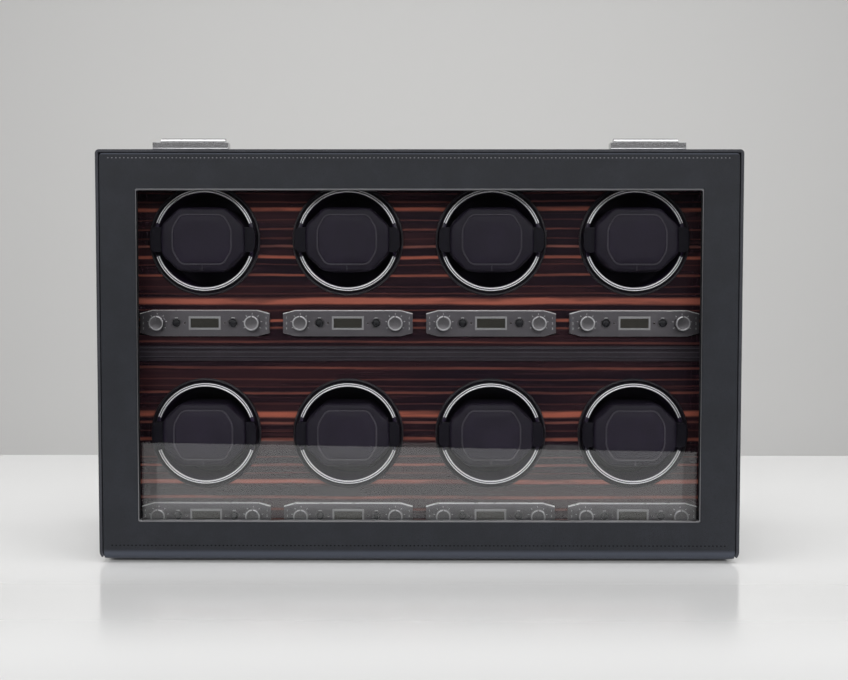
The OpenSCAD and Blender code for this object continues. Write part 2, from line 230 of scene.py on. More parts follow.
def finished(piece, body, material, slot, *nodes):
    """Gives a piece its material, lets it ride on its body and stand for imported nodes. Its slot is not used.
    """
    piece.data.materials.clear()
    piece.data.materials.append(material)
    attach(piece, body)
    if nodes:
        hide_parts(*nodes)
    return piece


# %% [markdown]
# Round pieces are turned on a lathe: a profile of a few points is drawn by extruding one vertex, and the spin
# operator sweeps it round an axis. Knobs, bezels, bowls, rings and feet are all made like this.

# %% A lathe
def profile(name, points):
    """A line through points, as a mesh of edges."""
    points = [Vector(p) for p in points]
    deselect()
    bpy.ops.mesh.primitive_plane_add(size=mm, location=points[0])
    piece = bpy.context.active_object
    bpy.ops.object.mode_set(mode="EDIT")
    bpy.ops.mesh.select_mode(type="VERT")
    bpy.ops.mesh.select_all(action="SELECT")
    bpy.ops.mesh.merge(type="CENTER")
    for start, end in zip(points, points[1:]):
        bpy.ops.mesh.extrude_vertices_move(TRANSFORM_OT_translate={"value": end - start})
    done()
    return settle(piece, name)


def turned(name, points, centre, steps=96, axis=(0, 1, 0)):
    """Spins a profile of (radius, place along the axis) points round an axis through the centre."""
    x, y, z = centre
    upright = axis[2]
    corners = [(x + r, y, z + along) if upright else (x + r, y + along, z) for r, along in points]
    piece = profile(name, corners)
    pick_all(piece)
    bpy.ops.mesh.spin(steps=steps, angle=math.radians(360), center=centre, axis=axis)
    done()
    return outward(piece)


def section(radius, along, steps):
    """Points of a profile, from steps in millimetres that are counted from a radius and a place."""
    return [(radius + r * mm, along + y * mm) for r, y in steps]


def arc(centre, radius, start, end, steps):
    """Points on an arc from one angle to another, in degrees."""
    angles = [math.radians(start + (end - start) * i / steps) for i in range(steps + 1)]
    return [(centre[0] + radius * math.cos(a), centre[1] + radius * math.sin(a)) for a in angles]


# %% [markdown]
# # Finishes
# ## Shader maths as plain expressions
# A material is a small sum of nodes. To keep its maths readable, a socket is wrapped so that Python's own
# signs add the Math nodes: `1 - mask * 0.5` adds two nodes and links them.

# %% A value in a material
class Value:
    """A socket of a material. Python's arithmetic signs add Math nodes to it."""

    def __init__(self, finish, socket):
        self.finish = finish
        self.socket = socket

    def maths(self, operation, *inputs):
        return self.finish.node("Math", {"operation": operation}, dict(enumerate(inputs)))

    def __add__(self, other):
        return self.maths("ADD", self, other)

    def __radd__(self, other):
        return self.maths("ADD", other, self)

    def __sub__(self, other):
        return self.maths("SUBTRACT", self, other)

    def __rsub__(self, other):
        return self.maths("SUBTRACT", other, self)

    def __mul__(self, other):
        return self.maths("MULTIPLY", self, other)

    def __rmul__(self, other):
        return self.maths("MULTIPLY", other, self)

    def __truediv__(self, other):
        return self.maths("DIVIDE", self, other)

    def size(self):
        return self.maths("ABSOLUTE", self)

    def most(self, other):
        return self.maths("MAXIMUM", self, other)

    def least(self, other):
        return self.maths("MINIMUM", self, other)

    def ramp(self, low, high):
        """0 below low, 1 above high, and a soft step between them."""
        return self.finish.node("MapRange", {"interpolation_type": "SMOOTHSTEP"},
                                {"Value": self, "From Min": low, "From Max": high})


# %% [markdown]
# One method adds any other node. It takes the node's type, its settings, and what its sockets hold: a number
# or colour is set on the socket, and a value from elsewhere in the material is linked to it.

# %% A finish under construction
class Finish:
    """A material and its nodes. Its last node is a shader."""

    def __init__(self, name):
        self.material = bpy.data.materials.new(name)
        self.material.use_nodes = True
        self.tree = self.material.node_tree
        self.tree.nodes.clear()
        self.place = self.node("TexCoord", {}, {}, "Object")
        axes = self.tree.nodes.new("ShaderNodeSeparateXYZ")
        self.tree.links.new(self.place.socket, axes.inputs[0])
        self.x, self.y, self.z = (Value(self, axes.outputs[i]) for i in range(3))

    def node(self, kind, settings, sockets, output=0):
        node = self.tree.nodes.new("ShaderNode" + kind)
        for setting, value in settings.items():
            setattr(node, setting, value)
        for key, value in sockets.items():
            if isinstance(value, Value):
                self.tree.links.new(value.socket, node.inputs[key])
            else:
                node.inputs[key].default_value = value
        return Value(self, node.outputs[output])

    def noise(self, scale, detail=2, roughness=0.5, stretch=None):
        vector = self.place
        if stretch:
            vector = self.node("Mapping", {}, {"Vector": vector, "Scale": stretch})
        return self.node("TexNoise", {}, {"Vector": vector, "Scale": scale, "Detail": detail,
                                          "Roughness": roughness})

    def blend(self, factor, a, b):
        """A colour between two colours."""
        return self.node("Mix", {"data_type": "RGBA"}, {0: factor, 6: self.rgba(a), 7: self.rgba(b)}, 2)

    def rgba(self, colour):
        return colour if isinstance(colour, Value) else (*colour, 1)

    def bump(self, height, distance, strength):
        return self.node("Bump", {}, {"Height": height, "Distance": distance, "Strength": strength})

    def principled(self, **sockets):
        """Ends the material. Names are those of the Principled BSDF's sockets, in lower case."""
        sockets = {key.replace("_", " ").title().replace("Ior", "IOR"): value
                   for key, value in sockets.items()}
        sockets["Base Color"] = self.rgba(sockets["Base Color"])
        return self.ended(self.node("BsdfPrincipled", {}, sockets))

    def ended(self, shader):
        out = self.tree.nodes.new("ShaderNodeOutputMaterial")
        self.tree.links.new(shader.socket, out.inputs["Surface"])
        return self.material


def darker(colour, share):
    """A colour times a number, which may also be above 1."""
    return [c * share for c in colour]


# %% [markdown]
# ## Leather
# The cabinet is covered in a fine-grained leather. Its grain is a net of small cells, pressed in by a bump,
# over softer and larger unevenness. The colour varies a little with both, and the raised grain is slightly
# glossier than the creases between the cells.

# %% Leather
def leather(name, colour, grain=1.0 * mm, depth=0.12 * mm, gloss=0.46, painted_sheen_heights=None):
    """Fine-grained leather. Between the heights given low down and high up, its colour is made paler: a painted
    sheen for the light on the cover's bottom roll and top edge.
    """
    finish = Finish(name)
    cells = finish.node("TexVoronoi", {"feature": "DISTANCE_TO_EDGE"},
                        {"Vector": finish.place, "Scale": 1 / grain}, "Distance")
    crease = cells.ramp(0.0, 0.22)
    cloud = finish.noise(38, 4, 0.6)
    pore = finish.noise(2600, 2)
    height = crease * 0.8 + pore * 0.35 + cloud * 0.5
    base = finish.blend(cloud.ramp(0.3, 0.75), darker(colour, 0.78), darker(colour, 1.2))
    shade = finish.blend(crease, darker(colour, 0.58), base)
    if painted_sheen_heights:
        low, high = painted_sheen_heights
        # Painted sheen: the colour is paler low down and high up, where the roll and the top edge catch the
        # light.
        painted_sheen = (1 - finish.z.ramp(*low)).most(finish.z.ramp(*high))
        shade = finish.blend(painted_sheen * 0.85, shade, darker(colour, 3.5))
    return finish.principled(
        base_color=shade, roughness=gloss + 0.12 - crease * 0.08 + cloud * 0.06,
        normal=finish.bump(height, depth, 0.55), specular_ior_level=0.22)


black = (0.0155, 0.0175, 0.0232)
black_leather = leather("black_leather", black, gloss=0.36)
# The board's leather has a painted sheen along its bottom roll and its top edge.
board_leather = leather("board_leather", black, gloss=0.36,
                        painted_sheen_heights=((10 * mm, 14.5 * mm), (418.9 * mm, 419.5 * mm)))
# A paler copy of the black leather for the band round the edge: a painted sheen for the light on the cover's
# top and side edges.
painted_sheen_band_leather = leather("painted_sheen_band_leather", (0.0430, 0.0450, 0.0540), gloss=0.34)
rail_leather = leather("rail_leather", (0.024, 0.0160, 0.0232), 0.9 * mm, gloss=0.4)
cuff_leather = leather("cuff_leather", (0.0112, 0.0070, 0.0175), 0.7 * mm, 0.07 * mm, 0.42)
pad_leather = leather("pad_leather", (0.0158, 0.0100, 0.0240), 0.7 * mm, 0.07 * mm, 0.42)
piping_leather = leather("piping_leather", (0.075, 0.066, 0.084), 0.7 * mm, 0.04 * mm, 0.34)

# %% [markdown]
# ## Striped ebony under lacquer
# The panels are veneered with a striped ebony: nearly black wood with long wavy bands from orange-brown to a
# dull pink. A band is a height at which the wood is lighter. The height is read through slow noise, so that
# the bands wander, and a second noise along the board makes them swell and fade. Fine dark grain runs over it
# all. The lacquer is a coat with almost no roughness on top of the duller wood.

# %% Striped ebony
panel_low, panel_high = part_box("veneer_panels")
rail_low, rail_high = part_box("divider_rail")
upper_bands = (            # height over the panel's lower edge in mm, width in mm, strength, pinkness
    (4.0, 2.2, 0.35, 0.3), (19.0, 2.2, 0.50, 0.2), (27.0, 3.4, 0.72, 0.3), (38.0, 1.6, 0.25, 0.5),
    (47.6, 7.6, 1.00, 0.35), (55.5, 1.5, 0.22, 0.9), (63.0, 1.6, 0.20, 0.8), (74.8, 2.6, 0.62, 0.2),
    (86.0, 1.4, 0.22, 0.9), (93.6, 3.4, 0.78, 0.2), (104.8, 2.7, 0.62, 0.8), (113.0, 1.4, 0.20, 0.9),
    (122.8, 1.9, 0.42, 0.4), (132.5, 1.4, 0.18, 0.9), (143.8, 4.4, 0.78, 0.2), (151.6, 1.7, 0.36, 0.9),
    (160.5, 1.6, 0.22, 0.9))
lower_bands = (
    (5.0, 3.0, 0.45, 0.5), (19.0, 2.0, 0.35, 0.6), (30.0, 2.8, 0.45, 0.4), (43.0, 3.4, 0.55, 0.5),
    (60.1, 5.0, 0.80, 0.5), (69.0, 1.5, 0.25, 0.9), (77.8, 3.0, 0.60, 0.3), (86.5, 1.6, 0.30, 0.8),
    (105.2, 3.6, 0.62, 0.3), (114.0, 1.5, 0.18, 0.9), (122.9, 2.8, 0.50, 0.8), (132.0, 7.2, 0.84, 0.3),
    (143.0, 1.5, 0.18, 0.9), (154.8, 2.6, 0.50, 0.1), (161.5, 1.5, 0.18, 0.8), (169.0, 1.7, 0.26, 0.6),
    (181.0, 2.6, 0.46, 0.2))


def ebony(name):
    finish = Finish(name)
    wander = finish.noise(1, 2, 0.5, (4.5, 1, 12)) - 0.5
    ripple = finish.noise(1, 3, 0.6, (20, 1, 70)) - 0.5
    height = finish.z + wander * (6 * mm) + ripple * (1.6 * mm)
    swell = finish.noise(1, 3, 0.6, (8, 1, 85)).ramp(0.30, 0.60)
    fibre = finish.noise(1, 4, 0.7, (12, 1, 1500))
    streak = finish.noise(1, 4, 0.65, (5, 1, 300))
    cloud = finish.noise(1, 2, 0.5, (4, 1, 40))
    bands, pink = None, None
    for low, rows in ((rail_high.z, upper_bands), (panel_low.z, lower_bands)):
        for place, width, strength, pinkness in rows:
            far = (height - (low + place * mm)).size() / (width * mm / 2)
            band = (1 - far.ramp(0.45, 1.35)) * strength
            bands = band if bands is None else bands.most(band)
            pink = band * pinkness if pink is None else pink.most(band * pinkness)
    bands = (bands * (0.50 + swell * 0.62)).least(1.0)
    light = bands * (0.62 + fibre * 0.7)
    faint = streak.ramp(0.50, 0.78) * 0.11
    dark = finish.blend(cloud.ramp(0.35, 0.65), (0.0078, 0.0022, 0.0070), (0.0225, 0.0063, 0.0097))
    orange = finish.blend(bands.ramp(0.3, 0.9), (0.235, 0.075, 0.055), (0.390, 0.104, 0.068))
    warm = finish.blend(pink.ramp(0.2, 0.8), orange, (0.273, 0.124, 0.110))
    colour = finish.blend((light + faint).least(1.0), dark, warm)
    grain = finish.bump(fibre, 0.05 * mm, 0.2)
    return finish.principled(
        base_color=colour, roughness=0.42 + fibre * 0.1, normal=grain, specular_ior_level=0.1,
        coat_weight=1.0, coat_roughness=0.015, coat_ior=1.6)


ebony_veneer = ebony("striped_ebony")

# %% [markdown]
# ## Metals
# The hinges are polished and plated: a metal with little roughness and very faint smears. The drums' rings
# and the window's lining are a little softer. The control plates are brushed, with long fine scratches from
# end to end, and the knobs are satin.

# %% Metals
def metal(name, colour, roughness, smear=0.05, scratch=None, depth=0.0, metallic=1.0):
    finish = Finish(name)
    cloud = finish.noise(120, 3)
    rough = roughness + (cloud - 0.5) * smear
    if not scratch:
        shade = finish.blend(cloud, darker(colour, 0.95), colour)
        return finish.principled(base_color=shade, metallic=metallic, roughness=rough)
    lines = finish.noise(1, 3, 0.6, scratch)
    rough = rough + (lines - 0.5) * 0.22
    shade = finish.blend(lines, darker(colour, 0.86), colour)
    return finish.principled(base_color=shade, metallic=metallic, roughness=rough,
                             normal=finish.bump(lines, depth, 0.5))


chrome = metal("polished_chrome", (0.86, 0.86, 0.88), 0.07)
brushed = metal("brushed_plate", (0.180, 0.165, 0.182), 0.36, 0.06, (30, 900, 3200), 0.03 * mm)
satin = metal("satin_knob", (0.165, 0.154, 0.164), 0.38, 0.08)
edge_metal = metal("cut_edge", (0.92, 0.91, 0.92), 0.28, metallic=0.4)
ring_metal = metal("ring_metal", (0.97, 0.94, 0.97), 0.30, metallic=0.3)
rim_metal = metal("rim_metal", (0.36, 0.345, 0.36), 0.34, metallic=0.5)
lining_metal = metal("lining_metal", (0.20, 0.20, 0.21), 0.30)
nickel = metal("hinge_nickel", (0.47, 0.47, 0.48), 0.20, 0.02)
motor_metal = metal("motor_metal", (0.48, 0.48, 0.50), 0.4, 0.1, (700, 60, 700), 0.02 * mm)

# %% [markdown]
# ## Plastics, rubber, boards and lamps
# Moulded plastic has a very fine spark-eroded texture. The same recipe with other numbers gives rubber, the
# painted rear board and the solder mask of the circuit boards.

# %% Moulded parts
def moulded(name, colour, roughness, texture=1800, depth=0.03 * mm, coat=0.0, variation=0.12, specular=0.5):
    finish = Finish(name)
    grit = finish.noise(texture, 3, 0.6)
    cloud = finish.noise(25, 3)
    shade = finish.blend(cloud.ramp(0.3, 0.7), darker(colour, 1 - variation), colour)
    return finish.principled(
        base_color=shade, roughness=roughness + (grit - 0.5) * 0.1, normal=finish.bump(grit, depth, 0.4),
        specular_ior_level=specular, coat_weight=coat, coat_roughness=0.08)


bowl_plastic = moulded("bowl_plastic", (0.0180, 0.0085, 0.0310), 0.32, depth=0.02 * mm)
bezel_plastic = moulded("bezel_plastic", (0.0105, 0.0080, 0.0120), 0.36, specular=0.4)
wing_plastic = moulded("wing_plastic", (0.0032, 0.0018, 0.0062), 0.50, specular=0.15)
# Painted shade: a black finish for the lining's uprights, which are the same metal as its bars.
painted_shade_black = moulded("painted_shade_black", (0.0060, 0.0060, 0.0070), 0.6, specular=0.1)
black_plastic = moulded("black_plastic", (0.012, 0.012, 0.013), 0.45)
rear_paint = moulded("rear_board", (0.020, 0.020, 0.022), 0.62, 900, 0.08 * mm)
foot_rubber = moulded("foot_rubber", (0.014, 0.014, 0.014), 0.78, 1200, 0.05 * mm)
button_rubber = moulded("button_rubber", (0.0090, 0.0080, 0.0110), 0.45, 1500, specular=0.25)
raw_board = moulded("raw_board", (0.33, 0.24, 0.155), 0.8, 700, 0.08 * mm, variation=0.3)
solder_mask = moulded("solder_mask", (0.012, 0.085, 0.035), 0.35, coat=0.4)
lamp_lens = moulded("lamp_lens", (0.030, 0.012, 0.014), 0.12, depth=0.0, coat=1.0)
display_glass = moulded("display_glass", (0.040, 0.037, 0.032), 0.22, depth=0.0, coat=1.0)
print_ink = moulded("print_ink", (0.72, 0.70, 0.72), 0.5)
# One grey thread in two copies: the top row's is lighter, a painted highlight, and the bottom row's is near
# black, a painted shade.
painted_highlight_thread = moulded("painted_highlight_thread", (0.13, 0.13, 0.145), 0.6, 4000)
painted_shade_thread = moulded("painted_shade_thread", (0.0015, 0.0015, 0.0020), 0.8, 4000, specular=0.05)

# %% [markdown]
# ## Glass
# Light that is bent by a solid pane hardly reaches what lies behind it in a render, so the pane is made from
# two simple parts: it lets everything through unbent, and mirrors a small share, which Fresnel's law makes
# larger at a flat angle. The law is asked for light going into glass and out of it, and the smaller answer
# counts, because unbent light would otherwise be trapped on its way out.

# %% Glass
def clear_glass(name):
    finish = Finish(name)
    inwards, outwards = (finish.node("Fresnel", {}, {"IOR": ior}) for ior in (1.5, 1 / 1.5))
    mirrored = inwards.least(outwards)
    through = finish.node("BsdfTransparent", {}, {"Color": (0.965, 0.975, 0.972, 1)})
    mirror = finish.node("BsdfGlossy", {}, {"Color": (1, 1, 1, 1), "Roughness": 0.0})
    return finish.ended(finish.node("MixShader", {}, {0: mirrored, 1: through, 2: mirror}))


pane_glass = clear_glass("clear_glass")

# %% [markdown]
# # The cover
# ## Its leather-covered frame
# The frame is a board with a window in it, padded and covered: the front leather rolls under along the
# bottom, and a narrow band of leather is wrapped round the two sides and the top, so that a fine groove runs
# just inside the edge. The board is a block cut by four planes, with the middle taken out and a wider recess
# for the glass cut from behind. Its edges are bevelled: a wide round along the bottom of the front, smaller
# ones elsewhere.

# %% The padded board
frame_low, frame_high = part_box("cover_frame")
window_low, window_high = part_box("window_trim")
band_t = 3.4 * mm          # thickness of the band round the edge
side_groove, top_groove = 1.1 * mm, 0.7 * mm
roll_r = 12 * mm
bottom_corner_r, top_corner_r = 8 * mm, 3.2 * mm
board_low = Vector((frame_low.x + band_t + side_groove, frame_low.y, frame_low.z))
board_high = Vector((frame_high.x - band_t - side_groove, frame_high.y, frame_high.z - band_t - top_groove))


def with_window(piece, low, high):
    """Cuts a window through a block from front to back."""
    for direction in ((1, 0, 0), (0, 0, 1)):
        for place in (low, high):
            pick_all(piece)
            bpy.ops.mesh.bisect(plane_co=place, plane_no=direction)
            done()
    pick(piece, "FACE", lambda c, n: abs(n.y) > 0.9 and low.x < c.x < high.x and low.z < c.z < high.z)
    bpy.ops.mesh.bridge_edge_loops()
    done()
    return piece


cover_board = with_window(block("cover_board", board_low, board_high), window_low, window_high)
glass_low, glass_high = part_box("glass_pane")
cut(cover_board, block("ledge", glass_low, (glass_high.x, board_high.y + mm, glass_high.z)))


def corner_edge(centre, direction):
    """Whether an edge is one of the four that run from front to back at the board's outer corners."""
    return abs(direction.y) > 0.9 and near(abs(centre.x), board_high.x)


bevelled(cover_board, roll_r, 10,
         lambda c, d: near(c.y, board_low.y) and near(c.z, board_low.z) and abs(d.x) > 0.9)
bevelled(cover_board, bottom_corner_r, 8, lambda c, d: corner_edge(c, d) and c.z < board_low.z + mm)
bevelled(cover_board, top_corner_r, 5, lambda c, d: corner_edge(c, d) and c.z > board_high.z - mm)
rounded(cover_board, 1.3 * mm, 3, 50)
finished(flat_lit(cover_board), "cover", board_leather, "leather", "cover_frame")
print("board:", len(cover_board.data.polygons), "faces")

# %% [markdown]
# The band is drawn as an open line up one side, over the top and down the other, extruded from front to back,
# and given its thickness inwards. Its lower ends follow the rounded bottom corners.

# %% The band round the edge
band_front = frame_low.y + 0.5 * mm
corner_r, bottom_r = 4 * mm, 10 * mm
left_half = arc((frame_low.x + bottom_r, frame_low.z + bottom_r), bottom_r, 222, 180, 5)
left_half += arc((frame_low.x + corner_r, frame_high.z - corner_r), corner_r, 180, 90, 6)
right_half = [(-x, z) for x, z in reversed(left_half)]
cover_band = profile("cover_band", [(x, band_front, z) for x, z in left_half + right_half])
pick_all(cover_band)
bpy.ops.mesh.extrude_region_move(TRANSFORM_OT_translate={"value": (0, frame_high.y - band_front, 0)})
done()
outward(cover_band)
modified(cover_band, "SOLIDIFY", thickness=band_t, offset=-1, use_even_offset=True)
rounded(cover_band, 0.8 * mm, 3, 55)
# The band's paler leather is a painted sheen along the edge.
finished(smooth(cover_band), "cover", painted_sheen_band_leather, "leather")

# %% [markdown]
# ## Stitches
# One stitch is a short thread that dips into the leather at both ends: a small cylinder whose ends are
# squeezed and pulled in. Array modifiers repeat it along the top and the bottom of the cover.

# %% Stitches
stitch_pitch, stitch_l, stitch_r = 4.1 * mm, 2.7 * mm, 0.62 * mm
stitch_first, stitch_last = board_low.x + 9 * mm, board_high.x - 9 * mm
stitch_y = board_low.y + 0.2 * mm


def stitch_row(name, z):
    deselect()
    bpy.ops.mesh.primitive_cylinder_add(
        vertices=8, radius=stitch_r, depth=stitch_l, end_fill_type="TRIFAN",
        location=(stitch_first, stitch_y, z), rotation=(0, math.radians(90), 0))
    row = settle(bpy.context.active_object, name)
    pick(row, "EDGE", lambda c, d: abs(d.x) > 0.9)
    bpy.ops.mesh.subdivide(number_cuts=2)
    done()
    dip = stitch_r * 0.9
    pick(row, "VERT", lambda c: abs(c.x - stitch_first) > stitch_l * 0.4)
    bpy.ops.transform.translate(value=(0, dip, 0))
    bpy.ops.transform.resize(value=(1, 0.5, 0.5), center_override=(stitch_first, stitch_y + dip, z))
    done()
    modified(row, "ARRAY", count=int((stitch_last - stitch_first) / stitch_pitch) + 1,
             use_relative_offset=False, use_constant_offset=True,
             constant_offset_displace=(stitch_pitch, 0, 0))
    return smooth(row, 60)


# The top row gets the painted highlight copy of the thread, and the bottom row gets the painted shade copy.
for name, z, material in (("stitches_top", board_high.z - 4.8 * mm, painted_highlight_thread),
                          ("stitches_bottom", board_low.z + roll_r + 4.2 * mm, painted_shade_thread)):
    row = finished(stitch_row(name, z), "cover", material, "leather")
    print(name, len(row.data.polygons), "faces")

# %% [markdown]
# ## The window's lining, the glass and its bead
# The lining is a thin metal frame with polished upper and lower bars. Its uprights are of the same metal, and
# their black finish is a painted shade for the dark sides of the window. It is a copy of its imported node with
# soft edges, which is what makes the light run along it as a line. The pane has the right shape already, and
# the bead's inner edge is set back a little behind the lining.

# %% Window
lining = softened("window_trim", "window_lining", 0.5 * mm, 3)
finished(lining, "cover", lining_metal, "polished_metal", "window_trim")
# The uprights' faces get the painted shade black; the top and bottom bars keep the metal.
lining.data.materials.append(painted_shade_black)
for face in lining.data.polygons:
    c = face.center
    if abs(c.x) > window_high.x - 2 * mm and window_low.z + 2 * mm < c.z < window_high.z - 2 * mm:
        face.material_index = 1
bead = softened("glass_bead", "bead", 0.6 * mm)
set_back, inner_part = 3.5 * mm, 5 * mm
for vertex in bead.data.vertices:
    c = vertex.co
    if abs(c.x) < window_high.x + 2 * mm and window_low.z - 2 * mm < c.z < window_high.z + 2 * mm:
        if abs(c.x) > window_high.x - inner_part:
            c.x += math.copysign(set_back, c.x)
        if c.z > window_high.z - inner_part:
            c.z += set_back
        if c.z < window_low.z + inner_part:
            c.z -= set_back
finished(bead, "cover", black_plastic, "black_plastic", "glass_bead")


def painted(node, material):
    """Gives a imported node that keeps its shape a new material."""
    packed = frame["nodes"][node]
    packed.data.materials.clear()
    packed.data.materials.append(material)


painted("glass_pane", pane_glass)

# %% [markdown]
# ## Hinges
# Each hinge is two leaves and a barrel round a pin. The front leaf is thicker and wider than the one behind
# the barrel. It lies on a thin plate with a round front edge. Two cross-headed screws hold each leaf. A screw
# head is a low disc with a cross cut into it.

# %% Hinges
hinge_axis = Vector(joints["cover_hinge"]["pos_m"])
leaf_low, leaf_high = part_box("case_hinge_leaves")
cover_leaf_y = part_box("cover_hinge_leaves")[0].y
leaf_gap = leaf_high.z - hinge_axis.z + 0.3 * mm
half_leaf = 38.5 * mm
rear_leaf_share = 0.86     # the rear leaf's width as a share of the front leaf's
hinge_xs = (leaf_low.x + half_leaf, leaf_high.x - half_leaf)
box_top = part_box("case_shell")[1].z
leaf_top = {"cover": box_top + 7.0 * mm, "case": box_top + 6 * mm}
for node, body in (("case_hinge_leaves", "case"), ("cover_hinge_leaves", "cover"), ("hinge_pins", "case")):
    piece = copy_of(node, node.replace("hinge", "rounded_hinge"))
    if "leaves" in node:
        for vertex in piece.data.vertices:
            if abs(vertex.co.y - hinge_axis.y) > leaf_gap - 0.1 * mm:
                middle = hinge_xs[0] if vertex.co.x < 0 else hinge_xs[1]
                if body == "case":
                    vertex.co.x = middle + (vertex.co.x - middle) * rear_leaf_share
                elif vertex.co.z > box_top + 5 * mm:
                    vertex.co.z = leaf_top["cover"]
    rounded(piece, 1.1 * mm if "leaves" in node else 0.4 * mm, 3, 40)
    finished(flat_lit(piece), body, nickel, "polished_metal", node)
seats = []
for x in hinge_xs:
    seat = block("seat", (x - half_leaf - 0.1 * mm, cover_leaf_y - 0.5 * mm, box_top),
                 (x + half_leaf + 0.1 * mm, cover_leaf_y + 4 * mm, box_top + 1.5 * mm))
    seats.append(rounded(seat, 0.7 * mm, 4))
finished(smooth(joined("hinge_seats", seats)), "cover", nickel, "polished_metal")


def screw_head(x, y, z, radius, height, slot):
    """A low cross-headed screw that looks upwards."""
    deselect()
    bpy.ops.mesh.primitive_uv_sphere_add(segments=24, ring_count=12, radius=radius, location=(x, y, z))
    head = bpy.context.active_object
    head.scale = (1, 1, height / radius)
    settle(head, "screw")
    pick_all(head)
    bpy.ops.mesh.bisect(plane_co=(x, y, z), plane_no=(0, 0, -1), clear_outer=True, use_fill=True)
    done()
    for turn in (0, 90):
        bar = block("bar", (x - radius * 0.6, y - slot / 2, z + height * 0.45),
                    (x + radius * 0.6, y + slot / 2, z + height * 2))
        pick_all(bar)
        bpy.ops.transform.rotate(value=math.radians(turn), orient_axis="Z", center_override=(x, y, z))
        done()
        cut(head, bar)
    return smooth(head, 30)


hinge_screw = (3.1 * mm, 0.9 * mm, 0.8 * mm)     # its radius and height, and the width of its cross
for body, low, high, reach in (("case", hinge_axis.y + leaf_gap, leaf_high.y, 25.5 * mm),
                               ("cover", cover_leaf_y, hinge_axis.y - leaf_gap, 29 * mm)):
    middle = (low + high) / 2
    heads = [screw_head(x + side * reach, middle, leaf_top[body], *hinge_screw)
             for x in hinge_xs for side in sides]
    finished(joined(body + "_hinge_screws", heads), body, satin, "brushed_metal")

# %% [markdown]
# # The case
# ## Shell, feet and rear board
# The shell is covered in the same leather as the cover, and stands on four thin rubber feet with a hollow
# underside.

# %% Shell
shell = softened("case_shell", "leather_shell", 1.0 * mm, 3)
finished(shell, "case", black_leather, "leather", "case_shell")

# %% Feet
foot_low, foot_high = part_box("feet")
foot_r = 12 * mm
foot_points = section(0, foot_low.z, ((0, 0.5), (6.6, 0.5), (7.44, 0), (11.3, 0), (11.85, 0.3), (12, 0.8)))
foot_points += [(foot_r - 0.2 * mm, foot_high.z), (0, foot_high.z)]
feet = []
for x in (foot_low.x + foot_r, foot_high.x - foot_r):
    for y in (foot_low.y + foot_r, foot_high.y - foot_r):
        feet.append(turned("foot", foot_points, (x, y, 0), 48, (0, 0, 1)))
finished(smooth(joined("rubber_feet", feet), 40), "case", foot_rubber, "rubber", "feet")

# %% [markdown]
# The rear board gets soft edges, and it is held by screws along its upper and lower edge and at its sides. It
# carries the power socket, which has a centre pin.

# %% Rear board, screws and socket
board = softened("rear_cover", "rear_board", 0.6 * mm)
finished(board, "case", rear_paint, "rear_board", "rear_cover")
rear_low, rear_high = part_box("rear_cover")
rear_screw_y = rear_high.y - 0.05 * mm
rear_edge = 12 * mm        # from the rear board's edge to a screw
rear_rows = (rear_low.z + rear_edge, rear_high.z - rear_edge)
spots = [(x * mm, z) for x in (-300, -100, 100, 300) for z in rear_rows]
spots += [(x * mm, (rear_low.z + rear_high.z) / 2) for x in (-300, 300)]
to_the_rear = Matrix.Rotation(math.radians(-90), 4, "X")
rear_screw = (3.6 * mm, 1.1 * mm, 0.9 * mm)
heads = []
for x, z in spots:
    head = screw_head(0, 0, 0, *rear_screw)
    head.data.transform(Matrix.Translation((x, rear_screw_y, z)) @ to_the_rear)
    heads.append(head)
finished(joined("rear_screws", heads), "case", black_plastic, "black_plastic")
print("rear screws:", len(spots))

socket_low, socket_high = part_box("power_socket")
socket_mid = (socket_low + socket_high) / 2
socket = softened("power_socket", "socket", 0.4 * mm)
finished(socket, "case", black_plastic, "black_plastic", "power_socket")
pin_root, pin_tip = socket_low.y + 3.5 * mm, socket_high.y - 3.5 * mm
contact = turned("socket_pin", [(0, pin_root), (0.9 * mm, pin_root), (0.9 * mm, pin_tip - 0.5 * mm),
                                (0.45 * mm, pin_tip), (0, pin_tip)], (socket_mid.x, 0, socket_mid.z), 24)
finished(smooth(contact), "case", chrome, "polished_metal")

# %% [markdown]
# ## Panels, divider and the works behind them
# The veneer panels and the divider are soft-edged copies, and three fine cords of leather run along the
# divider. The boards and motors behind them are hardly seen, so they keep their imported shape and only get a
# finish.

# %% Panels and divider
panels = softened("veneer_panels", "veneered_panels", 0.35 * mm, 2, 60)
finished(panels, "case", ebony_veneer, "ebony_veneer", "veneer_panels")
rail = softened("divider_rail", "divider", 0.7 * mm, 3, 60)
finished(rail, "case", rail_leather, "leather", "divider_rail")
cords = []
for height in (4.5, 9.6, 13.9):
    cord_z = rail_low.z + height * mm
    cord = block("cord", (rail_low.x + mm, rail_low.y - 0.3 * mm, cord_z - 0.4 * mm),
                 (rail_high.x - mm, rail_low.y + mm, cord_z + 0.4 * mm))
    cords.append(rounded(cord, 0.35 * mm, 3))
finished(smooth(joined("divider_cords", cords)), "case", piping_leather, "leather")
print("divider: %.1f mm high" % ((rail_high.z - rail_low.z) / mm))
painted("motor_board", raw_board)
painted("gear_motors", motor_metal)
painted("circuit_boards", solder_mask)

# %% [markdown]
# # The winding drums
# ## Bezels
# A drum turns inside a fixed bezel, a dull black ring. It slopes up from the gap round the drum to a round
# crest, and falls off to the veneer outside.

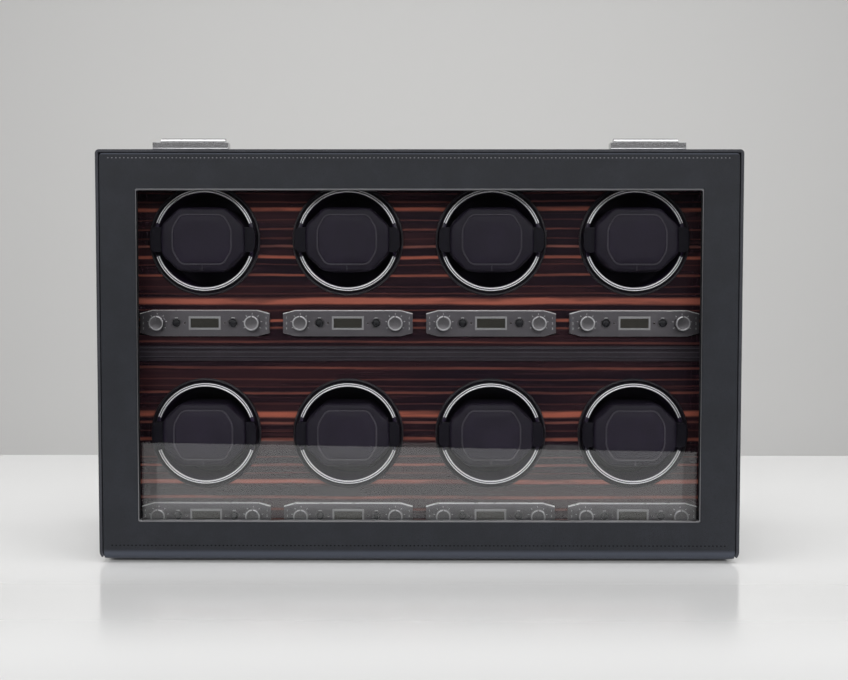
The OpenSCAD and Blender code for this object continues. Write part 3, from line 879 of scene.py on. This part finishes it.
# %% Bezels
centres = {}
for n in stations:
    low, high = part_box("drum_%d" % n)
    centres[n] = Vector(((low.x + high.x) / 2, 0, (low.z + high.z) / 2))
bezel_low, bezel_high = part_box("drum_bezels")
panel_face, panel_back = panel_low.y, panel_high.y
bezel_r = (bezel_high.x - bezel_low.x) / 2 - (centres[4].x - centres[1].x) / 2
bezel_in = 54 * mm
lip = [(bezel_in, panel_back)]
lip += section(bezel_in, bezel_low.y, ((0, 2.4), (0.9, 2.2), (1.5, 1.5), (2.1, 0.45), (2.6, 0.05), (3.1, 0),
                                       (3.6, 0.15), (4.0, 0.6)))
lip += section(bezel_r, panel_face, ((-0.5, -0.9), (-0.1, -0.5), (0, 0)))
lip += [(bezel_in + 1.4 * mm, panel_face), (bezel_in + 1.4 * mm, panel_back), (bezel_in, panel_back)]
first = smooth(turned("bezel_1", lip, centres[1], 128), 40)
bezels = [first] + [copied(first, "bezel", centres[n] - centres[1]) for n in stations if n != 1]
finished(joined("bezels", bezels), "case", bezel_plastic, "black_plastic", "drum_bezels")
print("bezel radius: %.1f mm" % (bezel_r / mm))

# %% [markdown]
# ## Bowls and rings
# The drum is a deep black bowl on a spindle. Its rim carries two arcs of polished ring, above and below the
# cuff's wings. Each arc of ring is a pair of beads, a broad inner one and a fine outer one, on the drum's
# rim.

# %% Bowls
drum_low, drum_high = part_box("drum_1")
rim_y = -83 * mm
bowl = section(0, 0, (     # a rounded floor, the rim, the outer wall, the hub and the spindle
    (0, -28.5), (45.4, -28.5), (48.2, -29.6), (49.4, -32), (49.4, -82.2), (49.7, -82.85), (50.3, -83),
    (52.4, -83), (53, -82.75), (53.2, -82.1), (53.2, -26), (52.8, -25.2), (52.2, -25),
    (9, -25), (9, -20), (3, -20)))
bowl += [(3 * mm, drum_high.y), (0, drum_high.y)]
first_bowl = smooth(turned("bowl_1", bowl, centres[1], 128), 30)

# %% Ring arcs
ring_r, ring_w = 53.4 * mm, 3.6 * mm
ring_front, ring_back = drum_low.y, rim_y - 0.05 * mm
ring_cut = 17.5 * mm       # height of a ring's end above the middle


def bead(inner, outer, front):
    """A rounded bump between two radii, seen in section."""
    middle, half, height = (inner + outer) / 2, (outer - inner) / 2, front - ring_back
    angles = [math.radians(a) for a in range(0, 181, 20)]
    return [(middle - half * math.cos(a), ring_back + height * math.sin(a)) for a in angles]


beads = (bead(ring_r - ring_w, ring_r - 2.0 * mm, ring_front),
         bead(ring_r - 1.15 * mm, ring_r - 0.1 * mm, ring_front + 0.5 * mm))
span = 180 - 2 * math.degrees(math.asin(ring_cut / (ring_r - ring_w / 2)))


def ring_arc(middle_angle, bump):
    """One arc of a bead in the first station, swept from its end, with closed ends."""
    centre = centres[1]
    start = math.radians(middle_angle - span / 2)
    right, up = math.cos(start), math.sin(start)
    piece = profile("arc", [(centre.x + r * right, y, centre.z + r * up) for r, y in bump])
    pick_all(piece)
    bpy.ops.mesh.edge_face_add()
    bpy.ops.mesh.spin(steps=72, angle=math.radians(span), center=centre, axis=(0, 1, 0))
    done()
    return smooth(outward(piece), 40)


first_arcs = joined("ring_1", [ring_arc(middle, bump) for middle in (90, 270) for bump in beads])
print("ring arc spans %.0f degrees" % span)

# %% [markdown]
# One function takes shapes that are ready at the first station to the other seven.

# %% Drums at all stations
def at_stations(*shapes):
    """Copies shapes from the first station to the others. Each piece rides on its own drum."""
    pieces = []
    for n in stations:
        for first, name, material, slot, node in shapes:
            piece = first if n == 1 else copied(first, name % n, centres[n] - centres[1])
            pieces.append(finished(piece, "winding_drum_%d" % n, material, slot, node % n))
    return pieces


at_stations((first_bowl, "bowl_%d", bowl_plastic, "drum_plastic", "drum_%d"),
            (first_arcs, "ring_%d", ring_metal, "polished_metal", "drum_%d"))

# %% [markdown]
# # The watch cuffs
# ## Outlines with cut corners
# A cuff, its pad, its piping and its wings all have an outline whose four corners are cut off. Such a plate
# is a closed line that is filled and extruded from front to back.

# %% Plates with cut corners
def cornered(width, height, cut_x, cut_z):
    """The eight corners of a rectangle with cut corners at the first station. Sizes are in millimetres."""
    centre, w, h, a, b = centres[1], width * mm / 2, height * mm / 2, cut_x * mm, cut_z * mm
    corners = ((w, h - b), (w - a, h), (a - w, h), (-w, h - b),
               (-w, b - h), (a - w, -h), (w - a, -h), (w, b - h))
    return [(centre.x + x, centre.z + z) for x, z in corners]


def slab(name, outline, front, back):
    piece = profile(name, [(x, front, z) for x, z in outline])
    pick_all(piece)
    bpy.ops.mesh.edge_face_add()
    bpy.ops.mesh.extrude_region_move(TRANSFORM_OT_translate={"value": (0, back - front, 0)})
    done()
    return outward(piece)


# %% [markdown]
# ## The padding
# A cuff is a block of foam wrapped in leather, with a softer pad on its front. Both are filled by a cloth
# simulation: the slab is remeshed into small even faces, its back is pinned, and a pressure inside swells it.
# A cap on the movement keeps the swelling within a millimetre or so, so that the cuff still fits into its
# drum. The simulation runs once, for the first station; the other seven cuffs are copies.

# %% Filling a cushion
def cushion(name, outline, front, back, corner, voxel, most, pressure):
    """A filled leather cushion. Nothing moves further than `most` from the slab it is made from."""
    piece = slab(name, outline, front, back)
    bevelled(piece, corner, 4, lambda c, d: abs(d.y) > 0.9)
    rounded(piece, min(corner, abs(back - front) / 2) * 0.5, 2, 60)
    modified(piece, "REMESH", mode="VOXEL", voxel_size=voxel, adaptivity=0.0)
    rest = [v.co.copy() for v in piece.data.vertices]
    pins = piece.vertex_groups.new(name="pins")
    pins.add([v.index for v in piece.data.vertices if v.co.y > back - 0.3 * (back - front)], 1.0, "REPLACE")
    scene, frames = bpy.context.scene, 20
    only(piece)
    filling = piece.modifiers.new("Cloth", "CLOTH")
    cloth = filling.settings
    cloth.quality = 5
    cloth.mass = 0.3
    cloth.tension_stiffness = cloth.compression_stiffness = 12
    cloth.shear_stiffness = 6
    cloth.bending_stiffness = 0.6
    cloth.vertex_group_mass = "pins"
    cloth.use_pressure = True
    cloth.uniform_pressure_force = pressure
    cloth.effector_weights.gravity = 0
    for timeline in (scene, filling.point_cache):
        timeline.frame_start, timeline.frame_end = 1, frames
    for step in range(1, frames + 1):
        scene.frame_set(step)
    bpy.ops.object.modifier_apply(modifier=filling.name)
    scene.frame_set(1)
    swell = 0
    for vertex, start in zip(piece.data.vertices, rest):
        moved = vertex.co - start
        if moved.length > most:
            vertex.co = start + moved.normalized() * most
        swell = max(swell, (vertex.co - start).length)
    modified(piece, "SMOOTH", factor=0.5, iterations=3)
    modified(piece, "SUBSURF", levels=1, render_levels=1)
    piece.vertex_groups.clear()
    print(name, len(piece.data.polygons), "faces, swelled %.2f mm" % (swell / mm))
    return smooth(piece, 60)


# %% Body and pad of the first cuff
cuff_low, cuff_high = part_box("cuff_1")
front_y = cuff_low.y
body_front, body_back = front_y + 2 * mm, cuff_high.y
first_body = cushion("cuff_body_1", cornered(88, 66.6, 19.5, 18.6), body_front + 0.6 * mm, body_back,
                     corner=3 * mm, voxel=3 * mm, most=0.7 * mm, pressure=3.0)
first_pad = cushion("cuff_pad_1", cornered(61.8, 52.0, 8.7, 14.2), front_y + 0.9 * mm, body_front + 1.6 * mm,
                    corner=5 * mm, voxel=1.7 * mm, most=1.0 * mm, pressure=2.5)

# %% [markdown]
# The wings are a moulded plate inside the cuff that rests on the drum's rim at both sides. Its edges are
# slightly rounded.

# %% Wings
wing_t = 9.2 * mm
wings = slab("cuff_wings_1", cornered(109.4, 26, 3, 5), rim_y - wing_t, rim_y)
first_wings = flat_lit(rounded(wings, 0.5 * mm, 2, 30))

# %% [markdown]
# A piping of rolled leather runs round the pad: a plate of the pad's outline whose middle is taken out, with
# its edges rounded until a cord is left. A short seam joins it to the cuff's lower edge.

# %% Piping
piping = slab("cuff_piping_1", cornered(62.6, 52.8, 8.9, 14.5), front_y + 0.7 * mm, body_front + 1.2 * mm)
bevelled(piping, 5 * mm, 5, lambda c, d: abs(d.y) > 0.9)
pick(piping, "FACE", lambda c, n: abs(n.y) > 0.9)
bpy.ops.mesh.inset(thickness=1.5 * mm)
bpy.ops.mesh.bridge_edge_loops()
done()
rounded(piping, 0.65 * mm, 3, 50)
seam = block("seam", centres[1] + Vector((-0.3 * mm, body_front + 0.1 * mm, -33.0 * mm)),
             centres[1] + Vector((0.3 * mm, body_front + 1.2 * mm, -26.6 * mm)))
first_piping = smooth(joined("cuff_piping_1", [piping, rounded(seam, 0.2 * mm, 2)]), 60)

# %% Cuffs at all stations
cuffs = at_stations((first_body, "cuff_body_%d", cuff_leather, "cuff_leather", "cuff_%d"),
                    (first_pad, "cuff_pad_%d", pad_leather, "cuff_leather", "cuff_%d"),
                    (first_piping, "cuff_piping_%d", piping_leather, "cuff_leather", "cuff_%d"),
                    (first_wings, "cuff_wings_%d", wing_plastic, "cuff_leather", "cuff_%d"))

# %% [markdown]
# # The control units
# ## Plates
# Each plate is brushed metal with a bevelled edge, holes for the knobs' shafts, the buttons and the lamps,
# and a raised rim round the display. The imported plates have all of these. Their copies get soft edges, with a
# wider and brighter one along the top.

# %% Plates, displays and lamps
plates = copy_of("control_plates", "brushed_plates")
plate_low, plate_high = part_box("control_plates")
plate_y = plate_low.y + 0.8 * mm
half_plate = 13.7 * mm
unit_z = {n: plate_high.z - half_plate if n < 5 else plate_low.z + half_plate for n in stations}
units = {n: Vector((centres[n].x, 0, unit_z[n])) for n in stations}
bevelled(plates, 1.1 * mm, 4, lambda c, d: near(c.y, plate_y) and abs(d.y) < 0.1
         and any(9 * mm < c.z - unit_z[n] < 15 * mm for n in stations))
flat_lit(rounded(plates, 0.5 * mm, 2, 40))
finished(plates, "case", brushed, "brushed_metal", "control_plates")
plates.data.materials.append(rim_metal)
plates.data.materials.append(edge_metal)
for face in plates.data.polygons:
    if face.center.y < plate_y - 0.1 * mm:
        face.material_index = 1
    elif face.center.y < panel_face - 0.2 * mm and abs(face.normal.y) < 0.95 and abs(face.normal.z) > 0.15:
        face.material_index = 2
displays = softened("displays", "display_panes", 0.4 * mm)
finished(displays, "case", display_glass, "display", "displays")

lamp_x = 21 * mm
lamp_points = section(0, plate_y, ((0, -0.75), (0.4, -0.68), (0.75, -0.45), (1.0, 0), (1.0, 9), (0, 9)))
lamps = [turned("lamp", lamp_points, units[n] + Vector((side * lamp_x, 0, 0)), 20)
         for n in stations for side in sides]
finished(smooth(joined("lamps", lamps), 50), "case", lamp_lens, "lamp", "status_lamps")

# %% [markdown]
# ## Knobs and buttons
# A selector is turned on the lathe with a soft edge, then faces round its rim are pushed in to make the grip,
# and a pointer is cut into its front. A push button is a dull dome in a thin metal collar.

# %% Selector knobs
knob_low, knob_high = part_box("left_knob_1")
knob_front, knob_back = knob_low.y, plate_y - 0.3 * mm
knob_r = 8 * mm
knob_centre = Vector(((knob_low.x + knob_high.x) / 2, 0, unit_z[1]))
knob_points = section(0, knob_front, ((0, 0.35), (5.6, 0.35), (6.24, 0), (7, 0), (7.7, 0.3), (7.98, 1.1)))
knob_points += section(0, knob_back, ((8, -1.2), (8, -0.3), (7.7, 0), (3, 0)))
knob_points += [(3 * mm, knob_high.y), (0, knob_high.y)]
knob = turned("knob", knob_points, knob_centre)


def grip_face(centre, normal):
    """Whether a face lies on the knob's side, in one of the 32 hollows of its grip."""
    out = centre - knob_centre
    return (abs(normal.y) < 0.3 and out.xz.length > knob_r * 0.9
            and knob_front + mm < centre.y < knob_back - 0.8 * mm
            and int(math.degrees(math.atan2(out.z, out.x)) // 3.75) % 3 == 0)


pick(knob, "FACE", grip_face)
bpy.ops.mesh.extrude_region_shrink_fatten(TRANSFORM_OT_shrink_fatten={"value": -0.25 * mm})
done()
cut(knob, block("notch", (knob_centre.x - 0.6 * mm, knob_front - mm, knob_centre.z + 2 * mm),
                (knob_centre.x + 0.6 * mm, knob_front + 0.9 * mm, knob_centre.z + 9 * mm)))
flat_lit(knob, 30)
rim_faces = [f.index for f in knob.data.polygons
             if (f.center - knob_centre).xz.length > knob_r * 0.74 and f.center.y < knob_front + 0.5 * mm]
for n in stations:
    for side in ("left", "right"):
        place = Vector(joints["%s_selector_turn_%d" % (side, n)]["pos_m"])
        shift = Vector((place.x - knob_centre.x, 0, place.z - knob_centre.z))
        twin = copied(knob, "%s_selector_knob_%d" % (side, n), shift)
        finished(twin, "%s_selector_%d" % (side, n), satin, "knob_metal", "%s_knob_%d" % (side, n))
        twin.data.materials.append(rim_metal)
        for index in rim_faces:
            twin.data.polygons[index].material_index = 1
bpy.data.objects.remove(knob)

# %% Push buttons and their collars
button_low, button_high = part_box("push_buttons_1")
button_r = (button_high.z - button_low.z) / 2
button_x = 29.8 * mm
dome = [(button_r * share, button_low.y + down * mm)
        for share, down in ((0, 0), (0.45, 0.1), (0.8, 0.45), (0.96, 0.9), (1, 1.3))]
dome += [(button_r, button_high.y), (0, button_high.y)]
collar = section(button_r, plate_y, ((0.25, 0.02), (0.25, -0.5), (0.45, -0.7), (0.95, -0.7), (1.25, -0.4),
                                     (1.3, 0.02), (0.25, 0.02)))
collars = []
for n in stations:
    places = [units[n] + Vector((side * button_x, 0, 0)) for side in sides]
    caps = smooth(joined("buttons_%d_caps" % n, [turned("cap", dome, place, 40) for place in places]), 50)
    finished(caps, "buttons_%d" % n, button_rubber, "button_rubber", "push_buttons_%d" % n)
    collars += [turned("collar", collar, place, 48) for place in places]
finished(smooth(joined("button_collars", collars), 30), "case", satin, "brushed_metal")

# %% [markdown]
# ## Printed scales
# Each selector has a scale of short ticks with three plain numbers beside it, and each button has a dash over
# it. Ticks and dashes are thin blocks, and the numbers are text turned into a mesh. All lie on the plate like
# ink.

# %% Ticks and numbers
ink_y = plate_y - 0.03 * mm
knob_x = 50 * mm
digit_x, digit_pitch = 14.6 * mm, 5.6 * mm
marks = []


def ink_mark(name, centre, half_width, low, high):
    """A thin upright mark whose lower and upper end are given from a place on the plate."""
    marks.append(block(name, centre + Vector((-half_width, -0.02 * mm, low)),
                       centre + Vector((half_width, 0.02 * mm, high))))
    return marks[-1]


for n in stations:
    for side in sides:
        hub = units[n] + Vector((side * knob_x, ink_y, 0))
        for turn in range(-120, 121, 40):
            tick = ink_mark("tick", hub, 0.25 * mm, knob_r + 0.9 * mm, knob_r + 2.5 * mm)
            pick_all(tick)
            bpy.ops.transform.rotate(value=math.radians(turn), orient_axis="Y", center_override=hub)
            done()
        for number in (1, 2, 3):
            deselect()
            digit_z = (2 - number) * digit_pitch - 1.1 * mm
            bpy.ops.object.text_add(location=hub + Vector((side * digit_x, -0.02 * mm, digit_z)),
                                    rotation=(math.radians(90), 0, 0))
            digit = bpy.context.active_object
            digit.data.body = str(number)
            digit.data.size = 3.2 * mm
            digit.data.align_x = "CENTER"
            digit.data.resolution_u = 2
            bpy.ops.object.convert(target="MESH")
            marks.append(settle(bpy.context.active_object, "digit"))
        button = units[n] + Vector((side * button_x, ink_y, 5.6 * mm))
        ink_mark("dash", button, 1.6 * mm, -0.3 * mm, 0.3 * mm)
marks = joined("scales", marks)
finished(marks, "case", print_ink, "brushed_metal")
print("scales:", len(marks.data.polygons), "faces")

# %% [markdown]
# # The stage
# ## Floor and backdrop
# The cabinet stands on a pale sheet, like a table top, and a plain backdrop hangs far behind it and reaches
# below it. The sheet shines by the cabinet and is dull further forward, and its colour is darker towards the
# front, a painted shade. It ends almost a metre in front of the cabinet, and in the glass its mirror image ends
# there too.

# %% Floor and backdrop
def plain(name, colour):
    """A plain finish under construction, and its faintly uneven colour."""
    finish = Finish(name)
    return finish, finish.blend(finish.noise(0.9, 2), darker(colour, 0.99), colour)


def grid(name, material, place):
    """A sheet of two by two fields. A function of their first places, -1 to 1, puts its corners in place."""
    deselect()
    bpy.ops.mesh.primitive_grid_add(x_subdivisions=2, y_subdivisions=2, size=2, location=(0, 0, 0))
    sheet = settle(bpy.context.active_object, name)
    for vertex in sheet.data.vertices:
        vertex.co = place(vertex.co.x, vertex.co.y)
    sheet.data.materials.append(material)
    return sheet


floor_colour = (0.980, 0.980, 0.975)
dull, shiny = 0.60, 0.13
finish, shade = plain("floor", floor_colour)
# Painted shade: the floor's colour is darker towards the front, which evens out the stronger light that falls
# there from the front light.
shade = finish.blend(finish.y.ramp(-0.75, 0.05), darker(floor_colour, 0.60), shade)
coat = finish.y.ramp(-0.455, -0.26)
smooth_part = coat * (1 - finish.y.ramp(-0.25, -0.13))
floor_finish = finish.principled(base_color=shade, roughness=dull - smooth_part * (dull - shiny),
                                 coat_weight=coat, coat_roughness=0.12)
finish, shade = plain("backdrop", (0.710, 0.705, 0.694))
wall_finish = finish.principled(base_color=shade, roughness=0.9)

edge_left, edge_right = Vector((-0.508, -1.041, 0)), Vector((0.500, -0.925, 0))
along = edge_right - edge_left
floor_half, floor_back = 2.6, 0.661
wall_half_width, wall_half_height, wall_y, wall_middle = 4.5, 2.3, 2.6, 1.1


def on_the_floor(u, v):
    """The sheet's front edge runs slightly askew, its middle row lies under the cabinet."""
    x = u * floor_half
    front = (edge_left + along * ((x - edge_left.x) / along.x)).y
    return x, (front if v < -0.5 else (0.0 if v < 0.5 else floor_back)), -0.0002


floor = grid("studio_floor", floor_finish, on_the_floor)
wall = grid("studio_backdrop", wall_finish,
            lambda u, v: (u * wall_half_width, wall_y, wall_middle + v * wall_half_height))

# %% [markdown]
# ## Light
# One large soft light hangs above and a little in front, and a wide one far in front shines in under the top.
# Two soft boxes stand at the sides. They are placed so that the glass doesn't mirror them towards the camera,
# while the polished rings and edges do. Two more light only the backdrop, from above and from below the
# floor.

# %% Lights
def soft_light(name, place, aim, width, height, watts):
    deselect()
    bpy.ops.object.light_add(type="AREA", location=place)
    light = bpy.context.active_object
    light.name = light.data.name = name
    light.rotation_euler = (Vector(aim) - Vector(place)).to_track_quat("-Z", "Y").to_euler()
    light.data.shape = "RECTANGLE"
    light.data.size, light.data.size_y = width, height
    light.data.energy = watts


soft_light("overhead", (0, -0.20, 2.2), (0, -0.1, 0.1), 3.0, 1.4, 48)
soft_light("front_box", (0, -4.5, 2.35), (0, -0.1, 0.25), 4.2, 1.6, 136)
soft_light("left_box", (-2.1, -2.2, 0.9), (0, -0.1, 0.2), 1.0, 1.5, 19)
soft_light("right_box", (2.1, -2.2, 0.9), (0, -0.1, 0.2), 1.0, 1.5, 23)
soft_light("backdrop_top", (0, 0.9, 2.0), (0, 2.6, 0.5), 4.4, 0.4, 8.5)
soft_light("backdrop_bottom", (0, 1.0, -0.7), (0, 2.6, 0.2), 4.4, 0.4, 12.5)
world = bpy.data.worlds.new("studio")
world.use_nodes = True
world.node_tree.nodes["Background"].inputs["Color"].default_value = (0.010, 0.010, 0.011, 1)
bpy.context.scene.world = world

# %% Camera
pitch, yaw, roll = math.radians(2.678), math.radians(-0.238), math.radians(0.039)
forward = Vector((math.sin(yaw) * math.cos(pitch), math.cos(yaw) * math.cos(pitch), -math.sin(pitch)))
upright = forward.to_track_quat("-Z", "Y").to_matrix()
deselect()
bpy.ops.object.camera_add(location=(0.0101, -1.3491, 0.2879))
camera = bpy.context.active_object
camera.name = "camera"
camera.rotation_euler = (upright @ Matrix.Rotation(roll, 3, "Z")).to_euler()
camera.data.lens = 51.08
camera.data.sensor_width = 36
bpy.context.scene.camera = camera
bpy.context.scene.view_settings.view_transform = "Standard"
